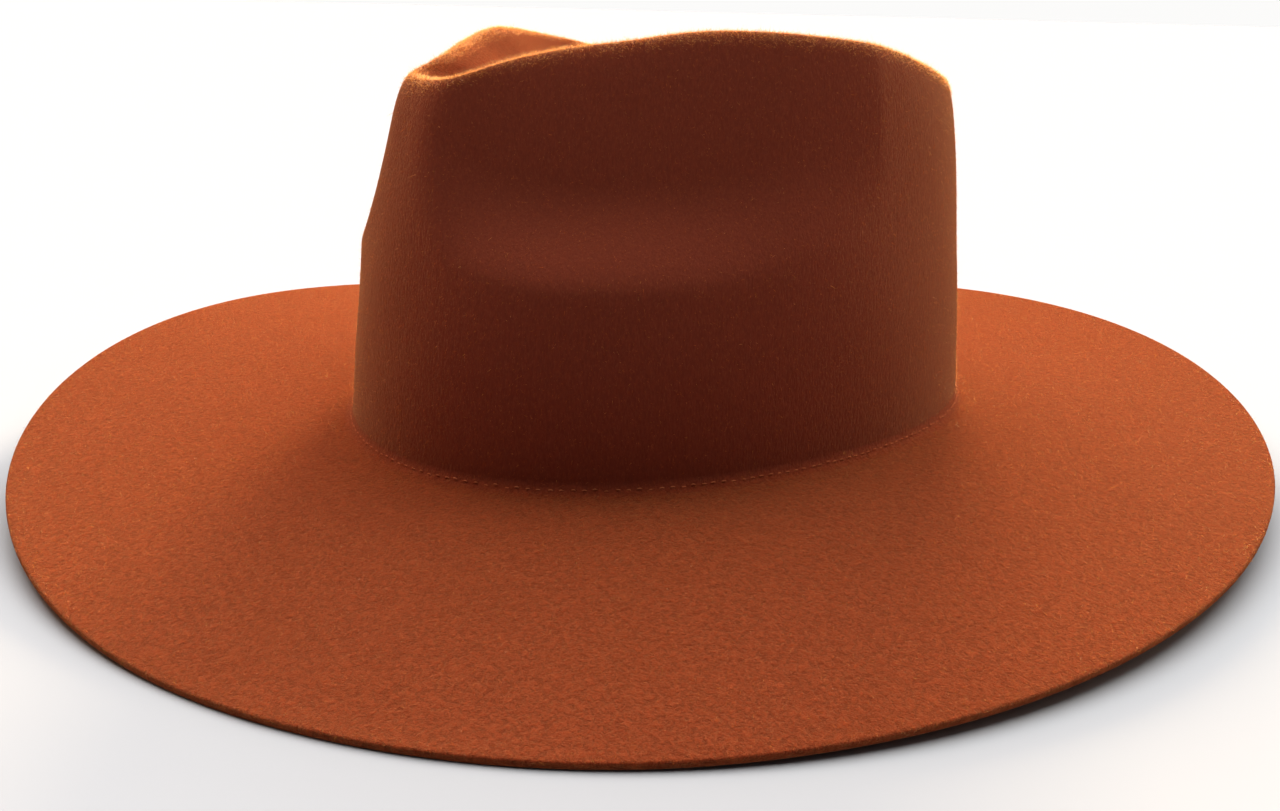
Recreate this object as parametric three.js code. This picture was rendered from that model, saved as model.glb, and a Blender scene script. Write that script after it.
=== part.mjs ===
import * as THREE from 'three';

// Brimmed hat blocked from one felt body, with a plain sweatband inside the crown's foot.
// Millimetres, +Z up, z = 0 is the plane it rests on. Front toward -Y, wearer's left toward +X.
// Angles run from the front (0) round by the wearer's left (90) to the back (180).

// Sizes that can be set by themselves
const headLength = 198.5;     // inside of the sweatband, front to back
const headWidth = 165.6;      // inside of the sweatband, side to side
const feltWall = 1.8;         // felt, crown and brim
const bandWall = 1.2;         // sweatband
const bandHeight = 32;        // sweatband, bottom edge to top edge
const bandRise = 1.5;         // sweatband's bottom edge above the brim's top at the crown's foot
const seatGap = 0.3;          // sweatband to felt, all round
const brimWidth = 87.2;       // crown's foot to the cut edge
const crownHeight = 106.8;    // crown's foot up to the ridge, where its rise below is 1
const crownTaper = 10.4;      // how far the open crown leans in from foot to top
const footRadius = 3.4;       // fillet from crown into brim
const footRise = 8.3;         // brim's top at the crown's foot, above the rest plane
const footBow = -2.3;         // rise of the foot line at front and back, fall at the sides
const leanFront = 1.8;        // crown's foot line higher at the front than at the middle
const leanSide = 2.0;         // and higher at the wearer's left
const waveHeight = 14.2;      // brim edge, lowest to highest before it settles on the rest plane
const waveAngle = 49.5;       // angle of the brim's low arc; the other is opposite
const skewHeight = 2.7;       // three-fold part of the wave
const skewAngle = 61.2;       // angle where that part is highest
const settle = 2.0;           // how much of the low arcs the rest plane flattens
const settleSoft = 0.5;       // half height of the blend at the flattened arcs' ends
const creaseDepth = 25;       // from that height down to the crease's floor
const creaseCentre = 8;       // the crease's deepest point behind the middle of the crown
const dentDepth = 15.6;       // front pinches, at their deepest
const dentHeight = 61;        // middle of the shelf where they begin, above the crown's foot
const dentReach = 13;         // from that shelf's middle to its upper or lower end
const dentBow = 13;           // how much higher that shelf runs out at the pinches' ends
const frontCorner = 2.65;     // shoulder exponent at the front: 2 round, larger squarer
const backCorner = 3.55;       // and at the back
const creaseFlat = 3;          // crease's floor exponent: larger is flatter
const creaseBank = 1.4;        // crease's side exponent: larger runs out softer into the ridge

// Round the crown: ridge height as a share of crownHeight, ridge inset from the foot as a share
// of the crown's half width and without the pinches, pinch depth as a share of dentDepth.
const ridge = [
  { at: 0, rise: 0.898, inset: 0.224, dent: 0.04 },
  { at: 10, rise: 0.909, inset: 0.226, dent: 0.14 },
  { at: 18, rise: 0.940, inset: 0.222, dent: 0.65 },
  { at: 30, rise: 0.966, inset: 0.221, dent: 0.96 },
  { at: 48, rise: 0.990, inset: 0.219, dent: 1.00 },
  { at: 66, rise: 1.017, inset: 0.215, dent: 0.80 },
  { at: 80, rise: 1.017, inset: 0.214, dent: 0.34 },
  { at: 92, rise: 1.002, inset: 0.210, dent: 0.00 },
  { at: 112, rise: 0.948, inset: 0.193, dent: 0.00 },
  { at: 135, rise: 0.905, inset: 0.190, dent: 0.00 },
  { at: 158, rise: 0.924, inset: 0.238, dent: 0.00 },
  { at: 180, rise: 0.930, inset: 0.258, dent: 0.00 },
];

// What follows from them
const footA = headLength / 2 + bandWall + seatGap + feltWall;   // crown's foot, half length, outside
const footB = headWidth / 2 + bandWall + seatGap + feltWall;    // and half width
const rad = (deg) => (deg * Math.PI) / 180;

// Smooth value of one column of a table, mirrored about the front-back line.
function column(table, name, deg) {
  const n = table.length;
  const a = Math.abs(((deg + 540) % 360) - 180);
  const at = (i) => (i < 0 ? -table[-i].at : i >= n ? 360 - table[2 * n - 2 - i].at : table[i].at);
  const val = (i) => table[i < 0 ? -i : i >= n ? 2 * n - 2 - i : i][name];
  let i = 0;
  while (i < n - 2 && a > table[i + 1].at) i += 1;
  const slope = (k) => {
    const h0 = at(k) - at(k - 1);
    const h1 = at(k + 1) - at(k);
    const d0 = (val(k) - val(k - 1)) / h0;
    const d1 = (val(k + 1) - val(k)) / h1;
    return (d0 * h1 + d1 * h0) / (h0 + h1);
  };
  const h = at(i + 1) - at(i);
  const u = (a - at(i)) / h;
  const u2 = u * u;
  const u3 = u2 * u;
  return (2 * u3 - 3 * u2 + 1) * val(i) + (u3 - 2 * u2 + u) * h * slope(i)
    + (3 * u2 - 2 * u3) * val(i + 1) + (u3 - u2) * h * slope(i + 1);
}

// Point of the foot oval at an angle, and its outward direction.
function foot(deg) {
  const t = rad(deg);
  const nx = Math.sin(t) / footB;
  const ny = -Math.cos(t) / footA;
  const n = Math.hypot(nx, ny);
  return { x: footB * Math.sin(t), y: -footA * Math.cos(t), nx: nx / n, ny: ny / n };
}

const lean = (x, y) => (-leanFront * y) / footA + (leanSide * x) / footB;

// Foot of the crown: height of the brim's top there, before the lean.
const footZ = (deg) => footRise + footBow * Math.cos(2 * rad(deg));

// Wall of the crown: height and inset at a share of the way up from foot (0) to ridge (1).
const corner = (deg) => frontCorner + (backCorner - frontCorner) * 0.5 * (1 - Math.cos(rad(deg)));
function wallAt(deg, up) {
  const low = footZ(deg);
  const high = footRise + crownHeight * column(ridge, 'rise', deg);
  const z = low + (high - low) * up;
  const level = Math.max(0, 1 - up ** corner(deg)) ** (1 / corner(deg));
  const top = column(ridge, 'inset', deg) * footB;
  const share = Math.max(0, column(ridge, 'dent', deg));
  const start = footRise + dentHeight + dentBow * (1 - share);
  const shelf = Math.min(1, Math.max(0, 0.5 + (z - start) / (2 * dentReach)));
  const dent = dentDepth * share * shelf * shelf * (3 - 2 * shelf);
  return { z, inset: (top - crownTaper) * (1 - level) + crownTaper * up + dent };
}
// The same by a turn of 0 to 90 degrees, which spaces the steps evenly round the shoulder,
const wall = (deg, turn) => wallAt(deg, Math.sin(rad(turn)) ** (2 / corner(deg)));
// and by a height above the foot.
function wallOver(deg, height) {
  const high = footRise + crownHeight * column(ridge, 'rise', deg);
  return wallAt(deg, height / (high - footZ(deg)));
}

// Height of the brim's underside at its edge, and any such height settled on the rest plane.
function edgeZ(deg) {
  return (waveHeight / 2) * (1 - Math.cos(2 * rad(deg - waveAngle)))
    + skewHeight * Math.cos(3 * rad(deg - skewAngle)) - settle;
}
function settled(z) {
  if (z <= -settleSoft) return 0;
  return z < settleSoft ? (z + settleSoft) ** 2 / (4 * settleSoft) : z;
}

// Steps round the hat, and along each stretch: crease from its floor, wall by degrees, fillet and brim.
const turns = 76;
const creaseSteps = [0.12, 0.26, 0.4, 0.54, 0.67, 0.79, 0.89, 0.96];
const wallTurns = [90, 83, 75, 67, 59, 51, 44, 38, 33, 28.5, 24, 19, 12.5, 7.5];
const footSteps = [1, 0.55, 0.22, 0];
const brimSteps = [0.16, 0.34, 0.52, 0.68, 0.82, 0.92, 1];
const ringAt = (count, place) => {
  const ring = [];
  for (let i = 0; i < count; i += 1) ring.push(place((360 * i) / count));
  return ring;
};

// A point on the wall at an angle, moved outward by a further distance.
function onWall(deg, z, inset, out = 0) {
  const f = foot(deg);
  const x = f.x + f.nx * (out - inset);
  const y = f.y + f.ny * (out - inset);
  return new THREE.Vector3(x, y, z + lean(x, y));
}

// Closed solid from rings of equal count, capped by a pole point or by joining last ring to first.
function solid(name, rings, poles, material) {
  const points = rings.flat();
  const n = rings[0].length;
  const index = [];
  const quad = (a, b, c, d) => index.push(a, b, c, a, c, d);
  const count = rings.length;
  for (let r = 0; r + 1 < count + (poles ? 0 : 1); r += 1) {
    const s = (r + 1) % count;
    for (let i = 0; i < n; i += 1) {
      const j = (i + 1) % n;
      quad(r * n + i, s * n + i, s * n + j, r * n + j);
    }
  }
  if (poles) {
    const first = points.push(poles[0]) - 1;
    const last = points.push(poles[1]) - 1;
    for (let i = 0; i < n; i += 1) {
      const j = (i + 1) % n;
      index.push(first, i, j);
      index.push(last, (count - 1) * n + j, (count - 1) * n + i);
    }
  }
  const geometry = new THREE.BufferGeometry();
  const places = points.flatMap((p) => [p.x, p.y, p.z]);
  geometry.setAttribute('position', new THREE.Float32BufferAttribute(places, 3));
  geometry.setIndex(index);
  geometry.computeVertexNormals();
  const mesh = new THREE.Mesh(geometry, material);
  mesh.name = name;
  return mesh;
}

// Felt body: crown and brim, one shell, from the crease's floor out to the brim's edge and back inside
const poleZ = footRise + crownHeight - creaseDepth;
const pole = new THREE.Vector3(0, creaseCentre, poleZ + lean(0, creaseCentre));
const outer = [];
for (const q of creaseSteps) {
  outer.push(ringAt(turns, (deg) => {
    const w = wall(deg, 90);
    const rim = onWall(deg, w.z, w.inset);
    const x = pole.x + (rim.x - pole.x) * q;
    const y = pole.y + (rim.y - pole.y) * q;
    const sink = (1 - q ** creaseFlat) ** creaseBank;
    return new THREE.Vector3(x, y, w.z + (poleZ - w.z) * sink + lean(x, y));
  }));
}
for (const t of wallTurns) {
  outer.push(ringAt(turns, (deg) => {
    const w = wall(deg, t);
    return onWall(deg, w.z, w.inset);
  }));
}
const wallRings = outer.length;
for (const h of footSteps) {
  const out = footRadius * (1 - Math.sqrt(1 - (1 - h) ** 2));
  outer.push(ringAt(turns, (deg) => {
    const w = wallOver(deg, footRadius * h);
    return onWall(deg, w.z, w.inset, out);
  }));
}
const under = [];
for (const d of brimSteps) {
  const out = footRadius + (brimWidth - footRadius) * d;
  const low = ringAt(turns, (deg) => {
    const f = foot(deg);
    const x = f.x + f.nx * out;
    const y = f.y + f.ny * out;
    const inner = footZ(deg) + lean(f.x, f.y) - feltWall;
    return new THREE.Vector3(x, y, settled(inner + (edgeZ(deg) - inner) * d));
  });
  under.push(low);
  outer.push(low.map((p) => new THREE.Vector3(p.x, p.y, p.z + feltWall)));
}
// The inside follows the outside one felt wall away: along its normal on the crown, straight down on the brim.
const inside = [];
for (let r = 0; r < wallRings + footSteps.length; r += 1) {
  inside.push(outer[r].map((p, i) => {
    const ring = outer[r];
    const before = r > 0 ? outer[r - 1][i] : pole;
    const round = ring[(i + 1) % turns].clone().sub(ring[(i + turns - 1) % turns]);
    const along = outer[r + 1][i].clone().sub(before);
    return p.clone().addScaledVector(round.cross(along).normalize(), feltWall);
  }));
}
const felt = new THREE.MeshStandardMaterial({ color: 0xa84f27, roughness: 0.95, metalness: 0 });
const loop = [...outer, ...[...under].reverse(), ...inside.reverse()];
const poleIn = pole.clone().sub(new THREE.Vector3(0, 0, feltWall));
const feltBody = solid('felt_body', loop, [pole, poleIn], felt);

// Sweatband: a plain band standing one gap inside the crown's foot
const bandMaterial = new THREE.MeshStandardMaterial({ color: 0x4a2a1c, roughness: 0.7, metalness: 0 });
const bandSteps = [0, 0.33, 0.67, 1];
const bandRing = (h, depth) => ringAt(turns, (deg) => {
  const w = wallOver(deg, bandRise + bandHeight * h);
  return onWall(deg, w.z, w.inset + feltWall + seatGap + depth);
});
const band = solid('sweatband', [
  ...bandSteps.map((h) => bandRing(h, bandWall)),
  ...[...bandSteps].reverse().map((h) => bandRing(h, 0)),
], null, bandMaterial);

const hat = new THREE.Group();
hat.name = 'brimmed_hat';
hat.add(feltBody, band);
export default hat;
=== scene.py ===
import bpy
import numpy as np
from mathutils import Matrix, Vector


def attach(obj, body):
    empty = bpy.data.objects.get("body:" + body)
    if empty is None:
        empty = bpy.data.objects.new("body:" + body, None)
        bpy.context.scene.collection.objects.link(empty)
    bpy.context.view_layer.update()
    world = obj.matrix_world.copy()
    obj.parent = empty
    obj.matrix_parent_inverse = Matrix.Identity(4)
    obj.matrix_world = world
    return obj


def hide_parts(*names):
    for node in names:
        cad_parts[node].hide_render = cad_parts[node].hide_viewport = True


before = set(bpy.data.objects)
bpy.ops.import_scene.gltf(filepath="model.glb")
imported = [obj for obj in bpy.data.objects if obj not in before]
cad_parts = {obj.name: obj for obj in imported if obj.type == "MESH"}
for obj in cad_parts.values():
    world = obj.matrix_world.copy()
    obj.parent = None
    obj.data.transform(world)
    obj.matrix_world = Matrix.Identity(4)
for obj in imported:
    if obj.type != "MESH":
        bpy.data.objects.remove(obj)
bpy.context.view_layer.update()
MILLIMETRE = 0.001


def add_object(name, data):
    """A new object with this data, linked to the scene."""
    made = bpy.data.objects.new(name, data)
    bpy.context.scene.collection.objects.link(made)
    return made


# The view: from the wearer's front left, close to the hat and a little above its crown, so that the near
# brim runs large and the far side of the crease just shows over the low front of the near ridge.
CAMERA_TURN, CAMERA_RISE, CAMERA_REACH = 49.2, 20.65, 0.35105
CAMERA_PAN, CAMERA_TILT, CAMERA_ROLL = -1.36, 0.05, -1.98
FOCAL_PIXELS, PHOTO_WIDTH, SENSOR_WIDTH = 1055.3, 1280, 36.0


def turned(axis, degrees):
    """Three by three matrix of a turn about one axis."""
    return np.array(Matrix.Rotation(np.radians(degrees), 3, axis))


turn, rise = np.radians((CAMERA_TURN, CAMERA_RISE))
outward = np.array((np.sin(turn) * np.cos(rise), -np.cos(turn) * np.cos(rise), np.sin(rise)))
rightward = np.array((np.cos(turn), np.sin(turn), 0.0))
looking = np.stack((rightward, np.cross(outward, rightward), outward))
looking = turned("Z", CAMERA_ROLL) @ turned("X", CAMERA_TILT) @ turned("Y", CAMERA_PAN) @ looking
lens = bpy.data.cameras.new("view")
lens.lens = SENSOR_WIDTH * FOCAL_PIXELS / PHOTO_WIDTH
lens.sensor_width = SENSOR_WIDTH
lens.clip_start = 0.01
view = add_object("view", lens)
view.matrix_world = Matrix.Translation(outward * CAMERA_REACH) @ Matrix(looking.T.tolist()).to_4x4()
bpy.context.scene.camera = view

# The felt body: one cone of rust wool felt, steamed over a block into crown and brim. Its top is creased
# to a teardrop and its front pinched by hand while hot, and the brim's outer edge is cut and left raw.
HEAD_LENGTH, HEAD_WIDTH = 198.5, 165.6
BAND_WALL, BAND_GAP, FELT_WALL = 1.2, 0.3, 1.8
BRIM_WIDTH, CROWN_HEIGHT, CROWN_TAPER, FOOT_RADIUS = 87.2, 106.8, 10.4, 3.4
FOOT_RISE, FOOT_BOW, LEAN_FRONT, LEAN_SIDE = 8.3, -2.3, 1.8, 2.0
WAVE_HEIGHT, WAVE_ANGLE, SKEW_HEIGHT, SKEW_ANGLE = 14.2, 49.5, 2.7, 61.2
SETTLE, SETTLE_SOFT = 2.0, 0.5
CREASE_DEPTH, CREASE_CENTRE, CREASE_FLAT, CREASE_BANK = 25.0, 8.0, 3, 1.4
DENT_DEPTH, DENT_HEIGHT, DENT_REACH, DENT_BOW = 15.6, 61.0, 13.0, 13.0
FRONT_CORNER, BACK_CORNER = 2.65, 3.55
# Round the crown from the front: angle, ridge height, ridge inset and pinch depth, as shares.
RIDGE = np.array((
    (0, 0.898, 0.224, 0.04), (10, 0.909, 0.226, 0.14), (18, 0.940, 0.222, 0.65),
    (30, 0.966, 0.221, 0.96), (48, 0.990, 0.219, 1.00), (66, 1.017, 0.215, 0.80),
    (80, 1.017, 0.214, 0.34), (92, 1.002, 0.210, 0.00), (112, 0.948, 0.193, 0.00),
    (135, 0.905, 0.190, 0.00), (158, 0.924, 0.238, 0.00), (180, 0.930, 0.258, 0.00)))
FOOT_LENGTH = HEAD_LENGTH / 2 + BAND_WALL + BAND_GAP + FELT_WALL
FOOT_WIDTH = HEAD_WIDTH / 2 + BAND_WALL + BAND_GAP + FELT_WALL


def ridge_column(column, angle):
    """A column of the ridge table at each angle: a cubic through its rows, mirrored at front and back."""
    at, value = RIDGE[:, 0], RIDGE[:, column]
    at = np.concatenate((-at[2:0:-1], at, 360 - at[-2:-4:-1]))
    value = np.concatenate((value[2:0:-1], value, value[-2:-4:-1]))
    gap = np.diff(at)
    slope = np.diff(value) / gap
    lean = np.zeros(len(at))
    lean[1:-1] = (slope[:-1] * gap[1:] + slope[1:] * gap[:-1]) / (gap[:-1] + gap[1:])
    angle = np.abs((angle + 540) % 360 - 180)
    row = np.clip(np.searchsorted(at, angle, side="right") - 1, 2, len(at) - 4)
    span = at[row + 1] - at[row]
    u = (angle - at[row]) / span
    ahead = 3 * u ** 2 - 2 * u ** 3
    return ((1 - ahead) * value[row] + ahead * value[row + 1]
            + span * u * (1 - u) * ((1 - u) * lean[row] - u * lean[row + 1]))


def foot_place(angle, height, out):
    """A point beside the foot oval: outward by out across its edge, raised by height and by the crown's
    lean."""
    t = np.radians(angle)
    across = np.stack((np.sin(t) / FOOT_WIDTH, -np.cos(t) / FOOT_LENGTH))
    across = across / np.hypot(*across)
    x = FOOT_WIDTH * np.sin(t) + across[0] * out
    y = -FOOT_LENGTH * np.cos(t) + across[1] * out
    return np.stack((x, y, height + crown_lean(x, y)), axis=-1)


def crown_lean(x, y):
    """Rise of the crown's foot toward the front and toward the wearer's left."""
    return LEAN_SIDE * x / FOOT_WIDTH - LEAN_FRONT * y / FOOT_LENGTH


def foot_height(angle):
    """Height of the brim's top where the crown stands on it."""
    return FOOT_RISE + FOOT_BOW * np.cos(2 * np.radians(angle))


def crown_corner(angle):
    """Shoulder exponent, from front to back."""
    return FRONT_CORNER + (BACK_CORNER - FRONT_CORNER) * 0.5 * (1 - np.cos(np.radians(angle)))


def crown_wall(angle, up):
    """Height and inset at a share of the way up: a superellipse from foot to ridge, plus the taper, plus
    the pinch, whose depth follows the ridge table and which begins in a smooth step, its shelf."""
    low = foot_height(angle)
    high = FOOT_RISE + CROWN_HEIGHT * ridge_column(1, angle)
    height = low + (high - low) * up
    corner = crown_corner(angle)
    level = np.maximum(0, 1 - up ** corner) ** (1 / corner)
    share = np.maximum(0, ridge_column(3, angle))
    start = FOOT_RISE + DENT_HEIGHT + DENT_BOW * (1 - share)
    shelf = np.clip(0.5 + (height - start) / (2 * DENT_REACH), 0, 1)
    pinch = DENT_DEPTH * share * shelf ** 2 * (3 - 2 * shelf)
    inset = (ridge_column(2, angle) * FOOT_WIDTH - CROWN_TAPER) * (1 - level) + CROWN_TAPER * up
    return height, inset + pinch


def brim_underside(angle, share):
    """Brim's underside from foot (0) to edge (1): a straight run to a waved edge, flattened softly where it
    would pass the plane it rests on."""
    out = FOOT_RADIUS + (BRIM_WIDTH - FOOT_RADIUS) * share
    x, y, _ = np.moveaxis(foot_place(angle, 0.0, 0.0 * share), -1, 0)
    inner = foot_height(angle) + crown_lean(x, y) - FELT_WALL
    edge = (0.5 * WAVE_HEIGHT * (1 - np.cos(2 * np.radians(angle - WAVE_ANGLE)))
            + SKEW_HEIGHT * np.cos(3 * np.radians(angle - SKEW_ANGLE)) - SETTLE)
    height = inner + (edge - inner) * share
    soft = np.clip(height + SETTLE_SOFT, 0, 2 * SETTLE_SOFT) ** 2 / (4 * SETTLE_SOFT)
    height = np.where(height < SETTLE_SOFT, soft, height)
    place = foot_place(angle, 0.0, out)
    place[..., 2] = height
    return place


def soft_relief(points):
    """Hand-worked unevenness of the felt, in millimetres of push: the sum of a long wave, which is a product
    of two sines, a crossing one and a short one. The first two are bent by slower sines."""
    x, y, z = np.moveaxis(points, -1, 0)
    long_wave = 0.22 * np.sin(x / 17 + 1.3 * np.sin(y / 29)) * np.sin(z / 14 + y / 31 + 0.7)
    cross_wave = 0.16 * np.sin(y / 11 + z / 19 + 1.1 * np.sin(x / 23))
    short_wave = 0.12 * np.sin(x / 7.3 - z / 9.1 + 2.0)
    return long_wave + cross_wave + short_wave


def grid_normals(points, north):
    """Outward direction at each point of a ring grid: cross product of its two running directions."""
    around = np.roll(points, -1, axis=1) - np.roll(points, 1, axis=1)
    first = np.broadcast_to(north, points[:1].shape)
    padded = np.concatenate((first, points, 2 * points[-1:] - points[-2:-1]))
    normal = np.cross(padded[2:] - padded[:-2], around)
    return normal / np.linalg.norm(normal, axis=-1, keepdims=True)


def ring_mesh(name, rings, poles=()):
    """Closed mesh from a grid of rings in millimetres: quads between rings, and a fan at each pole, or the
    last ring joined to the first where there is none."""
    count, around = rings.shape[:2]
    index = np.arange(count * around).reshape(count, around)
    below = index if not len(poles) else index[:-1]
    above = np.roll(index, -1, axis=0) if not len(poles) else index[1:]
    quads = np.stack((below, above, np.roll(above, -1, axis=1), np.roll(below, -1, axis=1)), axis=-1)
    faces = quads.reshape(-1, 4).tolist()
    points = rings.reshape(-1, 3)
    if len(poles):
        first, last = len(points), len(points) + 1
        points = np.concatenate((points, poles))
        top, bottom = index[0], index[-1]
        faces += np.stack((np.full(around, first), top, np.roll(top, -1)), axis=-1).tolist()
        faces += np.stack((np.full(around, last), np.roll(bottom, -1), bottom), axis=-1).tolist()
    mesh = bpy.data.meshes.new(name)
    mesh.from_pydata((points * MILLIMETRE).tolist(), [], faces)
    mesh.shade_smooth()
    return mesh


AROUND, CREASE_ROWS, WALL_ROWS, FILLET_ROWS, BRIM_ROWS = 360, 46, 84, 10, 57
WALL_STOP, RELIEF_FADE_ROWS, INNER_STEP = 0.5, 20, 3
angle = np.arange(AROUND)[None] * (360.0 / AROUND)
top_height, top_inset = crown_wall(angle, np.ones_like(angle))
rim = foot_place(angle, top_height, -top_inset)
floor_height = FOOT_RISE + CROWN_HEIGHT - CREASE_DEPTH
pole = np.array((0.0, CREASE_CENTRE, floor_height + crown_lean(0.0, CREASE_CENTRE)))
# Crease: the rim drawn in toward its deepest point. At the share q of the way out it lies lower than the
# rim by the rim's height over that point, times (1 - q^flat)^bank.
q = np.linspace(0.03, 0.985, CREASE_ROWS)[:, None]
crease = pole + (rim - pole) * q[..., None]
crease[..., 2] = (top_height + (floor_height - top_height) * (1 - q ** CREASE_FLAT) ** CREASE_BANK
                  + crown_lean(crease[..., 0], crease[..., 1]))
# Wall: even turns round the superellipse, down from the ridge. Its rows that are less than half a
# millimetre over the fillet, by their height at the front, are left out once the fillet is there.
turns = np.radians(np.linspace(90, 6.5, WALL_ROWS))[:, None]
height, inset = crown_wall(angle, np.sin(turns) ** (2 / crown_corner(angle)))
wall = foot_place(angle, height, -inset)
# Foot fillet: a quarter circle of the foot radius, added outside the wall as it comes down. Its rows crowd
# toward the brim.
drop = np.linspace(1, 0, FILLET_ROWS)[:, None] ** 1.3
full = CROWN_HEIGHT * ridge_column(1, angle) + FOOT_RISE - foot_height(angle)
height, inset = crown_wall(angle, FOOT_RADIUS * drop / full)
fillet = foot_place(angle, height, FOOT_RADIUS * (1 - np.sqrt(1 - (1 - drop) ** 2)) - inset)
wall = wall[wall[:, 0, 2] > fillet[0, 0, 2] + WALL_STOP]
crown = np.concatenate((crease, wall, fillet))
normal = grid_normals(crown, pole)
share = np.linspace(0, 1, BRIM_ROWS)[1:, None]
under = brim_underside(angle, share)
brim = under + (0, 0, FELT_WALL)
# Raw edge: the last half millimetre of both faces turns in a small round toward a near upright cut.
EDGE_ROUND = 0.5
turn_in = np.radians(np.array((25.0, 50.0, 75.0, 90.0)))[:, None, None]
across = (foot_place(angle, 0.0, 1.0) - foot_place(angle, 0.0, 0.0)) * (1, 1, 0)
back_off = across * EDGE_ROUND * (1 - np.sin(turn_in))
sink = np.array((0, 0, EDGE_ROUND)) * (1 - np.cos(turn_in))
upper = brim[-1:] - back_off - sink
lower = under[-1:] - back_off + sink
brim[-1] -= across[0] * EDGE_ROUND
under[-1] -= across[0] * EDGE_ROUND
inside = crown - normal * FELT_WALL
# The unevenness moves both faces of the crown alike, and fades out over its last rows above the brim.
fade = np.clip(np.arange(len(crown))[::-1, None, None] / RELIEF_FADE_ROWS, 0, 1)
relief = soft_relief(crown)[..., None] * normal * fade
crown = crown + relief
inside = inside + relief
outer_side = np.concatenate((crown, brim, upper))
outer_facing = grid_normals(outer_side, pole)
inner_side = np.concatenate((lower[::-1], under[::-INNER_STEP], inside[::-INNER_STEP]))
felt_mesh = ring_mesh("felt", np.concatenate((outer_side, inner_side)), (pole, pole - (0, 0, FELT_WALL)))
felt = add_object("felt", felt_mesh)
# How far the nap is combed downward, which also sets how far painted shade darkens the felt: wholly on the
# wall, ever less down the fillet, a little in the crease and not on the brim.
CREASE_COMBING_AND_SHADE = 0.15
combing_and_shade = np.concatenate((np.full(len(crease), CREASE_COMBING_AND_SHADE), np.ones(len(wall)),
                          np.linspace(1, 0, len(fillet))))
flat_rows = np.zeros(len(brim) + len(upper) + len(lower) + len(under[::-INNER_STEP]))
combing_and_shade = np.repeat(np.concatenate((combing_and_shade, flat_rows, combing_and_shade[::-INNER_STEP])), AROUND)
combing_and_shade = np.append(combing_and_shade, (CREASE_COMBING_AND_SHADE, CREASE_COMBING_AND_SHADE))
combing_and_shade_layer = felt_mesh.attributes.new("combing_and_shade", "FLOAT", "POINT")
combing_and_shade_layer.data.foreach_set("value", combing_and_shade.astype(np.float32))


class Dye:
    """A socket in a material. Arithmetic on it adds Math nodes, and add makes any other node."""

    def __init__(self, tree, socket=None):
        self.tree = tree
        self.socket = socket

    def add(self, kind, settings, inputs, out=0):
        """A node of this kind: its settings first, then its sockets by name or number, from values or from
        other Dyes. Gives back its output."""
        node = self.tree.nodes.new(kind)
        for name, value in settings.items():
            setattr(node, name, value)
        for name, value in inputs.items():
            if isinstance(value, Dye):
                self.tree.links.new(value.socket, node.inputs[name])
            else:
                node.inputs[name].default_value = value
        return Dye(self.tree, node.outputs[out])

    def feed(self, node, name):
        """Link this value to a shader's socket."""
        self.tree.links.new(self.socket, node.inputs[name])

    def maths(self, operation, first, second=0.0):
        return self.add("ShaderNodeMath", {"operation": operation}, {0: first, 1: second})

    def __add__(self, other):
        return self.maths("ADD", self, other)

    def __sub__(self, other):
        return self.maths("SUBTRACT", self, other)

    def __rsub__(self, other):
        return self.maths("SUBTRACT", other, self)

    def __mul__(self, other):
        return self.maths("MULTIPLY", self, other)

    def step(self, low, high):
        """Smooth step of this value from low to high."""
        return self.add("ShaderNodeMapRange", {"interpolation_type": "SMOOTHSTEP"},
                        {"Value": self, "From Min": low, "From Max": high})

    def mix(self, first, second):
        """Colour between two colours, by this value."""
        return self.add("ShaderNodeMix", {"data_type": "RGBA"}, {0: self, 6: first, 7: second}, 2)

    def noise(self, scale, detail=2.0, rough=0.5, bend=0.0, place=None):
        """Noise value at this material's place, or at a stretched one."""
        return self.add("ShaderNodeTexNoise", {}, {
            "Vector": place or self.place(), "Scale": scale, "Detail": detail, "Roughness": rough,
            "Distortion": bend})

    def place(self, stretch=(1, 1, 1)):
        """Object coordinates, stretched."""
        spot = self.add("ShaderNodeTexCoord", {}, {}, "Object")
        return self.add("ShaderNodeMapping", {}, {"Vector": spot, "Scale": stretch})


def new_material(name, values):
    """A material with nodes, its Principled shader with these values set, and an empty Dye on its tree."""
    material = bpy.data.materials.new(name)
    material.use_nodes = True
    shader = material.node_tree.nodes["Principled BSDF"]
    for socket_name, value in values.items():
        shader.inputs[socket_name].default_value = value
    return material, shader, Dye(material.node_tree)


rust, shader, dye = new_material("rust_felt", {
    "Roughness": 0.92, "Specular IOR Level": 0.0, "Sheen Weight": 0.40, "Sheen Roughness": 0.32,
    "Sheen Tint": (1.0, 0.54, 0.22, 1.0)})
combed_and_shaded = dye.add("ShaderNodeAttribute", {"attribute_name": "combing_and_shade"}, {}, "Fac")
# Nap: short wool fibres, matted every way on the brim and combed downward on the crown's wall.
matted = dye.noise(950.0, 5.0, 0.68, 0.8)
streaks = dye.noise(1700.0, 3.0, 0.6, 0.4, dye.place((1.0, 1.0, 0.3)))
nap = matted + combed_and_shaded * (streaks - matted)
fibre = dye.noise(2600.0, 3.0, 0.7, 1.6)
hairs = dye.noise(3600.0, 2.0, 0.7, 0.8, dye.place((1.0, 1.0, 0.2)))
fibre = fibre + combed_and_shaded * (hairs - fibre)
pile = dye.noise(520.0, 4.0, 0.66, 0.0)
cloud = dye.noise(34.0, 3.0, 0.55)
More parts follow.
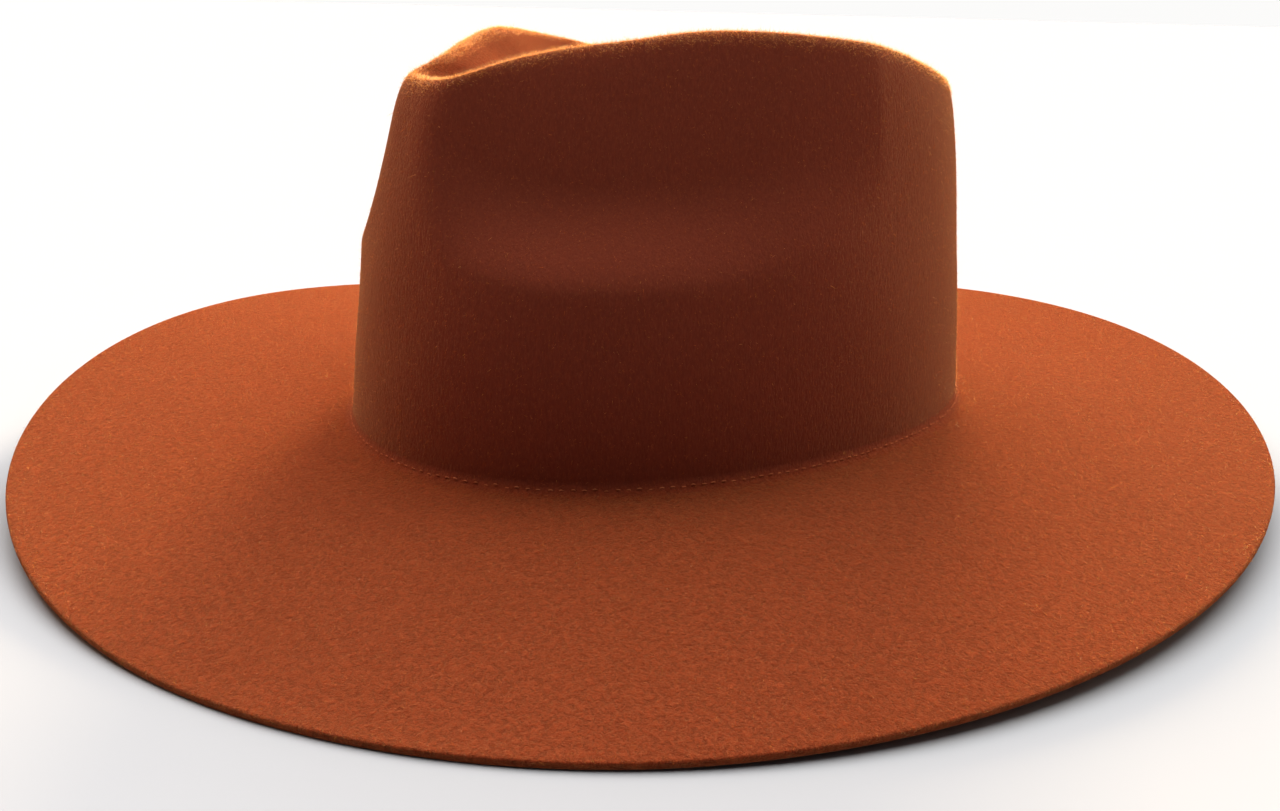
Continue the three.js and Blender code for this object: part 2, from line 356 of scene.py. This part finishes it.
# Colour: the nap runs from deep to middle rust, its fibres catch bright, the hollows of the pile are
# darkened toward deep as painted shade, wide clouds turn it a little duller, and the crown's wall, where the
# nap is combed, is darkened to brown as painted shade.
deep = (0.195, 0.029, 0.011, 1.0)
middle = (0.345, 0.055, 0.018, 1.0)
bright = (0.530, 0.140, 0.050, 1.0)
dull = (0.250, 0.042, 0.011, 1.0)
# The last colour is painted shade: a dark brown for the crown's wall where the nap is combed.
wall_shade = (0.140, 0.038, 0.028, 1.0)
tone = (nap.step(0.39, 0.61) * (1 - combed_and_shaded * 0.6) + combed_and_shaded * 0.3).mix(deep, middle)
tone = (fibre.step(0.48, 0.74) * (0.66 - combed_and_shaded * 0.26)).mix(tone, bright)
# Painted shade: the pile's hollows darkened toward deep.
tone = (pile.step(0.62, 0.36) * (0.30 - combed_and_shaded * 0.14)).mix(tone, deep)
tone = (cloud.step(0.35, 0.7) * 0.14).mix(tone, dull)
# Painted shade: the combed crown wall darkened toward brown.
tone = (combed_and_shaded * 0.50).mix(tone, wall_shade)
tone.feed(shader, "Base Color")
# Relief: nap, fibres and pile, all of them flatter where the nap is combed.
bumps = (nap * 0.9 + fibre * 0.4) * (1 - combed_and_shaded * 0.62) + pile * (0.80 - combed_and_shaded * 0.62)
rough_face = dye.add("ShaderNodeBump", {}, {"Strength": 1.0, "Distance": 0.001, "Height": bumps})
rough_face.feed(shader, "Normal")
felt_mesh.materials.append(rust)
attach(felt, "root")
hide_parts("felt_body")

# The fuzz: loose ends of wool standing off the felt, raised by handling and thickest along the ridge and
# the cut edge. Each end is a slim three-sided needle, and on the crown's wall they hang with the nap.
NEEDLE_GIRTH, ROOT_DEPTH, FLOOR_GAP = 0.030, 0.06, 0.02
OUTWARD_PULL, LEAST_OUTWARD, SIDEWAYS_SPREAD = 0.55, 0.2, 0.5
LENGTH_SPREAD, GIRTH_SPREAD = 0.35, 0.25
RIDGE_REACH, EDGE_ROWS = 6, 4


def fuzz_mesh(name, points, facing, thick, count, length, hang, shares):
    """Needles rooted on a ring grid, spread by area times thick: each leans from the outward direction by a
    random sideways part plus hang downward, and half of them are longer than the length in millimetres at
    their cell. Shares says what share of them is dark, warm and pale. The count is the seed too."""
    rng = np.random.default_rng(count)
    beside = np.roll(points, -1, axis=1)
    cell = np.cross(points[1:] - points[:-1], beside[:-1] - points[:-1])
    area = np.linalg.norm(cell, axis=-1) * thick
    pick = np.searchsorted(np.cumsum(area.ravel()), rng.random(count) * area.sum())
    row, column = np.unravel_index(np.minimum(pick, area.size - 1), area.shape)
    u, v = rng.random((2, count, 1))

    def between(grid):
        """Value of a grid at each needle's root, between the four corners of its cell."""
        next_column = (column + 1) % grid.shape[1]
        upper_row = grid[row, column] * (1 - v) + grid[row, next_column] * v
        lower_row = grid[row + 1, column] * (1 - v) + grid[row + 1, next_column] * v
        return upper_row * (1 - u) + lower_row * u

    root, out = between(points), between(facing)
    upright = 1 - out[:, 2:] ** 2
    aim = out * OUTWARD_PULL + rng.normal(0, SIDEWAYS_SPREAD, (count, 3))
    aim = aim + upright * hang * np.array((0, 0, -1.0))
    aim += out * np.maximum(0, LEAST_OUTWARD - (aim * out).sum(axis=1, keepdims=True))
    aim /= np.linalg.norm(aim, axis=1, keepdims=True)
    cell_length = np.broadcast_to(length, area.shape)[row, column][:, None]
    reach = cell_length * np.exp(rng.normal(0, LENGTH_SPREAD, (count, 1)))
    girth = NEEDLE_GIRTH * np.exp(rng.normal(0, GIRTH_SPREAD, (count, 1)))
    side = np.cross(aim, rng.normal(0, 1, (count, 3)))
    side /= np.linalg.norm(side, axis=1, keepdims=True)
    other = np.cross(aim, side)
    root = root - out * ROOT_DEPTH
    corners = [root + (side * c + other * s) * girth for c, s in ((1, 0), (-0.5, 0.866), (-0.5, -0.866))]
    needle = np.stack((*corners, root + aim * reach), axis=1)
    needle[..., 2] = np.maximum(needle[..., 2], FLOOR_GAP)
    base = np.arange(count)[:, None, None] * 4
    faces = base + np.array(((0, 2, 1), (0, 1, 3), (1, 2, 3), (2, 0, 3)))
    mesh = bpy.data.meshes.new(name)
    mesh.from_pydata((needle.reshape(-1, 3) * MILLIMETRE).tolist(), [], faces.reshape(-1, 3).tolist())
    shade = np.repeat(rng.choice(3, count, p=shares), 4)
    mesh.polygons.foreach_set("material_index", shade.astype(np.int32))
    return mesh


wool_ends = []
for shade_name, colour in (("dark", (0.36, 0.070, 0.018, 1.0)), ("warm", (0.62, 0.150, 0.036, 1.0)),
                           ("pale", (0.92, 0.330, 0.090, 1.0))):
    wool, shader, dye = new_material("wool_ends_" + shade_name, {
        "Base Color": colour, "Roughness": 0.7, "Specular IOR Level": 0.0, "Subsurface Weight": 1.0,
        "Subsurface Radius": (1.0, 0.5, 0.25), "Subsurface Scale": 0.00012})
    wool_ends.append(wool)
crown_rows = len(crown)
last_brim_row = crown_rows + len(brim) - 1
over_crown, over_brim = slice(0, crown_rows + 2), slice(crown_rows - 2, None)
cell_row = np.arange(len(outer_side) - 1)[:, None]
on_wall = cell_row[:crown_rows + 1] >= len(crease)
by_ridge = np.clip(1 - np.linalg.norm(outer_side[:crown_rows + 1] - rim, axis=-1) / RIDGE_REACH, 0, 1)
by_edge = np.clip((cell_row[over_brim] - last_brim_row + EDGE_ROWS) / EDGE_ROWS, 0, 1)
for name, rows, thick, count, length, hang, shares in (
        ("crown_fuzz", over_crown, 0.3 + 0.7 * on_wall, 48000, 0.7, 0.5, (0.47, 0.47, 0.06)),
        # Along the ridge four in ten ends are pale, a painted highlight for the glow the ridge catches.
        ("ridge_fuzz", over_crown, by_ridge ** 1.5, 48000, 0.6 + 0.3 * by_ridge, 0.2, (0.15, 0.45, 0.4)),
        ("brim_fuzz", over_brim, 1 + 2 * by_edge, 46000, 0.6, 0.0, (0.5, 0.47, 0.03))):
    mesh = fuzz_mesh(name, outer_side[rows], outer_facing[rows], thick, count, length, hang, shares)
    for wool in wool_ends:
        mesh.materials.append(wool)
    fuzz = add_object(name, mesh)
    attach(fuzz, "root")

# The sweatband: a plain woven band sewn inside the crown's foot, where the head touches the hat. Only
# the underside shows it. It stands free of the felt by a hair all round.
BAND_HEIGHT, BAND_RISE, RIBS = 32.0, 1.5, 520
climb = np.linspace(0, 1, 25)[:, None]
height, inset = crown_wall(angle, (BAND_RISE + BAND_HEIGHT * climb) / full)
behind = foot_place(angle, height, -inset - FELT_WALL - BAND_GAP)
front = foot_place(angle, height, -inset - FELT_WALL - BAND_GAP - BAND_WALL)
band_mesh = ring_mesh("band", np.concatenate((front, behind[::-1])))
band = add_object("band", band_mesh)
woven, shader, dye = new_material("woven_band", {"Roughness": 0.8})
# Ribs: upright ones, as many sine waves round the band, with the weave's thread over them.
spot = dye.place()
sideways = dye.add("ShaderNodeSeparateXYZ", {}, {0: spot}, "X")
lengthways = dye.add("ShaderNodeSeparateXYZ", {}, {0: spot}, "Y")
rib = dye.maths("SINE", dye.maths("ARCTAN2", lengthways, sideways) * RIBS) * 0.5 + 0.5
thread = dye.noise(1800.0, 2.0)
tone = (rib * 0.7 + thread * 0.3).mix((0.030, 0.014, 0.008, 1.0), (0.085, 0.040, 0.022, 1.0))
tone.feed(shader, "Base Color")
weave = rib + thread * 0.3
rough_face = dye.add("ShaderNodeBump", {}, {"Strength": 0.6, "Distance": 0.0003, "Height": weave})
rough_face.feed(shader, "Normal")
band_mesh.materials.append(woven)
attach(band, "root")
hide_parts("sweatband")

# The stitches: one row of waxed thread round the foot of the crown, which holds the sweatband. They lie on
# the fillet, some a little sunk in the felt and some just proud of it, not quite three millimetres apart.
STITCHES, STITCH_LENGTH, STITCH_RADIUS, STITCH_BOW = 220, 1.3, 0.16, 0.15
ROW_HEIGHT, ROW_OUT, STRAY_UP, STRAY_ALONG = 1.5, 0.66, 0.16, 0.15
line = np.arange(0, 363, 0.25)
height, inset = crown_wall(line, ROW_HEIGHT / (CROWN_HEIGHT * ridge_column(1, line)))
row = foot_place(line, height, ROW_OUT - inset)
polar = np.unwrap(np.arctan2(row[:, 0], -row[:, 1]))
wanted = polar[0] + np.arange(STITCHES) * 2 * np.pi / STITCHES
middle_point = np.stack([np.interp(wanted, polar, row[:, k]) for k in range(3)], axis=-1)
ahead = np.stack([np.interp(wanted + 0.004, polar, row[:, k]) for k in range(3)], axis=-1)
along = ahead - middle_point
along = along / np.linalg.norm(along, axis=-1, keepdims=True)
side = np.cross(along, (0, 0, 1.0))
lift = np.cross(side, along)
# A stitch: a short rod whose radius falls toward its ends as the root of 1 - u^4, and which is capped there.
# It bows up a little in the middle, and strays a little from its place in the row.
u = np.linspace(-1, 1, 7)[:, None]
v = np.radians(np.arange(0, 360, 45))[None]
swell = STITCH_RADIUS * np.sqrt(np.maximum(0.05, 1 - u ** 4))
wobble = np.random.default_rng(4).normal(0, 1, (2, STITCHES, 1, 1, 1))
rod = (middle_point[:, None, None]
       + along[:, None, None] * (u * STITCH_LENGTH / 2)[None, ..., None]
       + side[:, None, None] * (swell * np.cos(v))[None, ..., None]
       + lift[:, None, None] * (swell * np.sin(v) + STITCH_BOW * (1 - u ** 2))[None, ..., None]
       + lift[:, None, None] * wobble[0] * STRAY_UP + along[:, None, None] * wobble[1] * STRAY_ALONG)
steps, spokes = rod.shape[1:3]
index = np.arange(rod[..., 0].size).reshape(STITCHES, steps, spokes)
beside = np.roll(index, -1, axis=2)
quads = np.stack((index[:, :-1], index[:, 1:], beside[:, 1:], beside[:, :-1]), axis=-1).reshape(-1, 4)
caps = np.concatenate((index[:, 0], index[:, -1, ::-1]))
stitch_mesh = bpy.data.meshes.new("stitches")
stitch_mesh.from_pydata((rod.reshape(-1, 3) * MILLIMETRE).tolist(), [], quads.tolist() + caps.tolist())
stitch_mesh.shade_smooth()
stitches = add_object("stitches", stitch_mesh)
waxed, shader, dye = new_material("waxed_thread", {"Roughness": 0.85, "Specular IOR Level": 0.0})
twist = dye.noise(3000.0, 1.0)
tone = twist.mix((0.400, 0.095, 0.036, 1.0), (0.640, 0.205, 0.085, 1.0))
tone.feed(shader, "Base Color")
stitch_mesh.materials.append(waxed)
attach(stitches, "root")

# The studio: a wide pale floor under one broad soft light from behind and above the hat, which leaves the
# crown's front in shade, a low warm light from behind and a weak glow from either side. The room itself
# gives next to no light, though the view sees it pale.
FLOOR_RADIUS = 40.0
spin = np.radians(np.arange(0, 360, 3))
disc = np.stack((np.cos(spin), np.sin(spin), 0 * spin), axis=-1) * FLOOR_RADIUS
floor_mesh = bpy.data.meshes.new("floor")
floor_mesh.from_pydata(disc.tolist(), [], [list(range(len(disc)))])
floor = add_object("floor", floor_mesh)
paper, shader, dye = new_material("pale_paper", {
    "Base Color": (0.405, 0.42, 0.445, 1.0), "Roughness": 1.0, "Specular IOR Level": 0.0})
floor_mesh.materials.append(paper)


def soft_sun(name, height, turn_by, width, energy, colour):
    """A distant light of this width in degrees, height degrees up. It comes from behind the hat as the view
    sees it, from turn_by degrees to the left, or to the right where that is below zero."""
    lamp = bpy.data.lights.new(name, "SUN")
    lamp.energy = energy
    lamp.angle = np.radians(width)
    lamp.color = colour
    away = np.radians(CAMERA_TURN + turn_by)
    toward = Vector((np.sin(away), -np.cos(away), -np.tan(np.radians(height))))
    source = add_object(name, lamp)
    source.rotation_euler = toward.to_track_quat("-Z", "Y").to_euler()


soft_sun("broad", 53.0, -2.0, 86.0, 7.8, (1.0, 0.98, 0.95))
soft_sun("low_warm", 16.0, -9.0, 18.0, 5.6, (1.0, 0.76, 0.48))
soft_sun("left_glow", 18.0, 66.0, 40.0, 1.2, (1.0, 0.52, 0.28))
soft_sun("right_glow", 18.0, -66.0, 40.0, 0.9, (1.0, 0.76, 0.58))
world = bpy.data.worlds.new("studio")
world.use_nodes = True
room = Dye(world.node_tree)
seen = room.add("ShaderNodeLightPath", {}, {}, "Is Camera Ray")
shade = seen.mix((0.035, 0.034, 0.036, 1.0), (0.97, 0.965, 0.955, 1.0))
shade.feed(world.node_tree.nodes["Background"], "Color")
bpy.context.scene.world = world
bpy.context.scene.view_settings.view_transform = "Standard"
